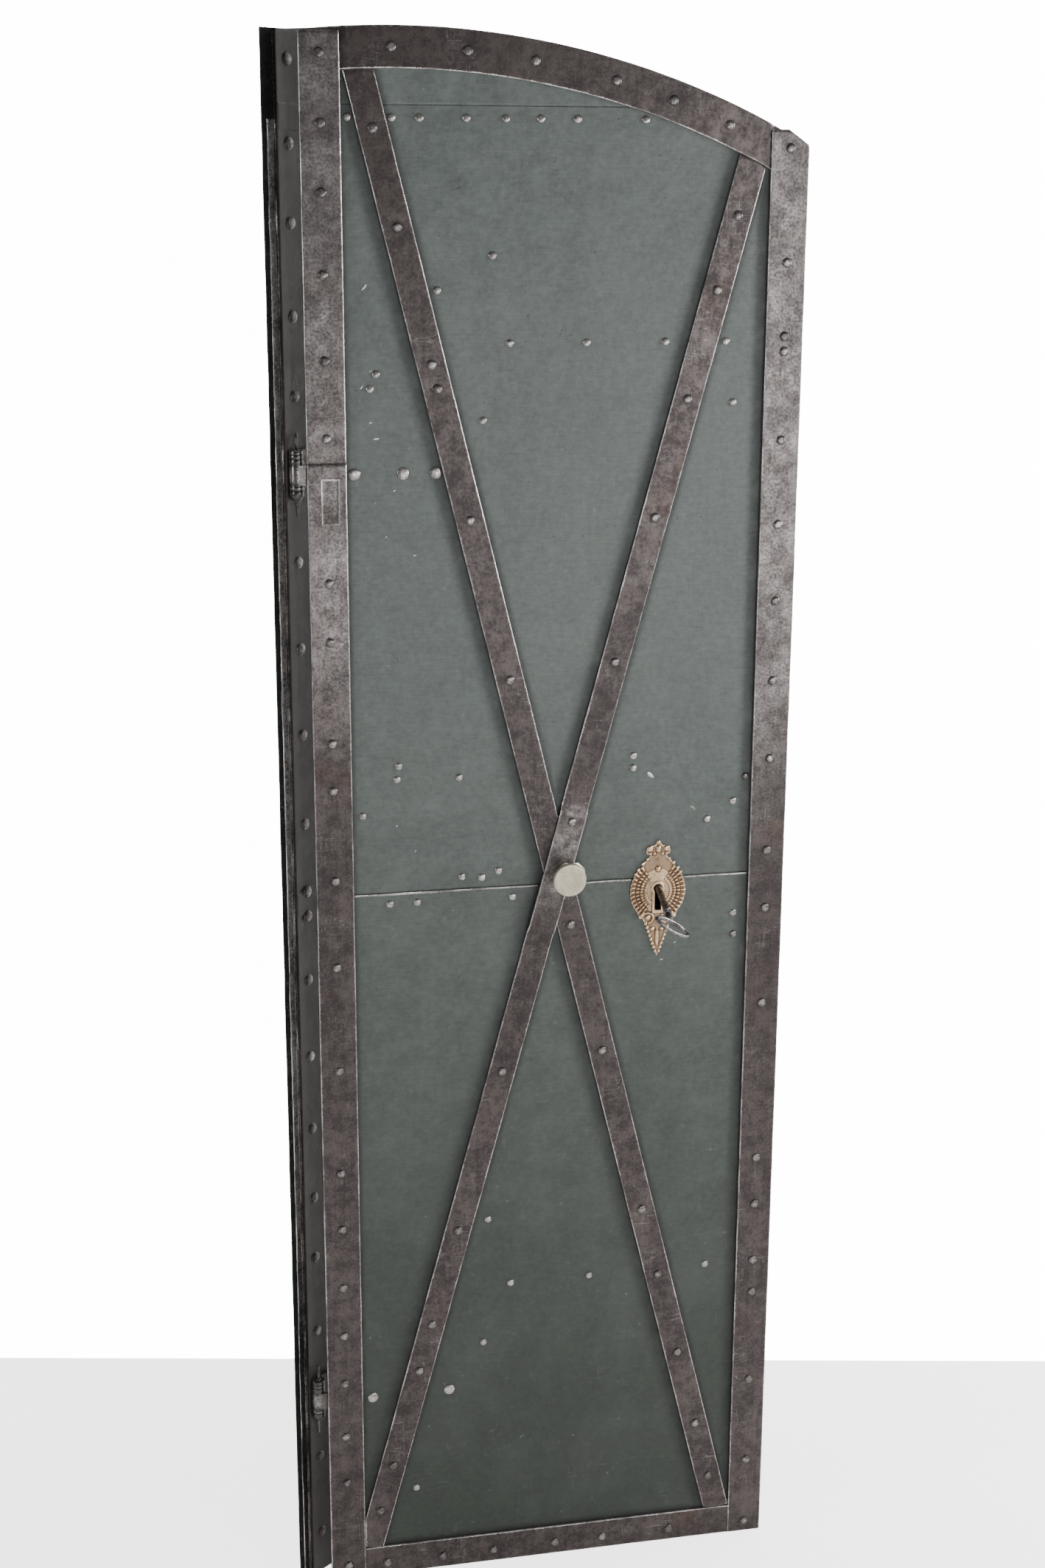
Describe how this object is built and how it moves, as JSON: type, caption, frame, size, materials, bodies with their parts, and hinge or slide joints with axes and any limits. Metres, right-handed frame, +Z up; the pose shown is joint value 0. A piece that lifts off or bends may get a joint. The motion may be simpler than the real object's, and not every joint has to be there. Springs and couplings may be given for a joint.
{
  "type": "iron folding door",
  "caption": "Two-leaf riveted iron folding door with an arched top, crossed braces, a round pull knob, a brass keyhole plate, a turning key and a box lock.",
  "frame": {"origin": "under the middle of the front leaf's bottom rail, on the floor", "axes": "+X along the front leaf to its lock edge, +Y away from the viewer, +Z up"},
  "size_m": [0.6126, 0.4646, 1.8866],
  "materials": {
    "sheet_paint": "worn dark grey-green paint on iron sheet",
    "bar_iron": "dark wrought iron with worn edges and some rust",
    "rivet_iron": "hammered iron, bright where rubbed",
    "cover_iron": "nearly black iron",
    "hinge_iron": "dark wrought iron",
    "lock_iron": "dark iron plate",
    "knob_metal": "pale satin metal",
    "old_brass": "antique brass with bright high spots",
    "key_steel": "dark steel with a shiny bow"
  },
  "bodies": {
    "wall_leaf": {"high_hinge_rear_plate": "hinge_iron", "high_wall_eye": "hinge_iron", "low_hinge_rear_plate": "hinge_iron", "low_wall_eye": "hinge_iron", "rear_arch_bar": "bar_iron", "rear_bottom_sheet": "sheet_paint", "rear_brace_rivets": "rivet_iron", "rear_cover_strip": "cover_iron", "rear_fold_stile": "bar_iron", "rear_hinge_rivets": "rivet_iron", "rear_middle_sheet": "sheet_paint", "rear_over_brace": "bar_iron", "rear_rail_rivets": "rivet_iron", "rear_seam_rivets": "rivet_iron", "rear_sill_bar": "bar_iron", "rear_stile_rivets": "rivet_iron", "rear_top_sheet": "sheet_paint", "rear_under_brace": "bar_iron", "rear_wall_stile": "bar_iron", "wall_eye_rivets": "rivet_iron"},
    "lock_leaf": {"escutcheon": "old_brass", "escutcheon_pins": "old_brass", "front_arch_bar": "bar_iron", "front_bottom_sheet": "sheet_paint", "front_brace_rivets": "rivet_iron", "front_field_rivets": "rivet_iron", "front_fold_stile_lower": "bar_iron", "front_fold_stile_upper": "bar_iron", "front_hinge_rivets": "rivet_iron", "front_lock_stile": "bar_iron", "front_middle_sheet": "sheet_paint", "front_over_brace": "bar_iron", "front_rail_rivets": "rivet_iron", "front_seam_rivets": "rivet_iron", "front_sill_bar": "bar_iron", "front_stile_rivets": "rivet_iron", "front_strap_rivets": "rivet_iron", "front_top_sheet": "sheet_paint", "front_under_brace": "bar_iron", "high_hinge_front_strap": "hinge_iron", "high_inner_strap": "bar_iron", "knob_nut": "hinge_iron", "knob_rose": "knob_metal", "knob_washer": "hinge_iron", "lock_case": "lock_iron", "lock_case_rivets": "rivet_iron", "lock_stump": "lock_iron", "low_hinge_front_strap": "hinge_iron", "low_inner_strap": "bar_iron", "middle_inner_strap": "bar_iron", "pull_knob": "knob_metal"},
    "lock_bolt": {"lock_bolt": "lock_iron"},
    "key": {"key": "key_steel"},
    "high_pin": {"high_hinge_pin": "hinge_iron"},
    "low_pin": {"low_hinge_pin": "hinge_iron"}
  },
  "joints": [
    {"name": "fold_hinge", "type": "hinge", "parent": "wall_leaf", "child": "lock_leaf", "pos_m": [-0.295, 0.012, 0], "axis": [0, 0, -1], "range_deg": [-33, 140]},
    {"name": "key_turn", "type": "hinge", "parent": "lock_leaf", "child": "key", "pos_m": [0.128, 0, 0.905], "axis": [0, -1, 0], "range_deg": [-54, 306]},
    {"name": "high_pin_lift", "type": "slide", "parent": "wall_leaf", "child": "high_pin", "axis": [0, 0, 1], "range_m": [0, 0.05]},
    {"name": "low_pin_lift", "type": "slide", "parent": "wall_leaf", "child": "low_pin", "axis": [0, 0, 1], "range_m": [0, 0.05]},
    {"name": "bolt_slide", "type": "slide", "parent": "lock_leaf", "child": "lock_bolt", "axis": [1, 0, 0], "range_m": [-0.003, 0.017]}
  ],
  "couplings": [
    {"joint": "key_turn", "follows": "bolt_slide", "rad_per_m": 314.16}
  ]
}
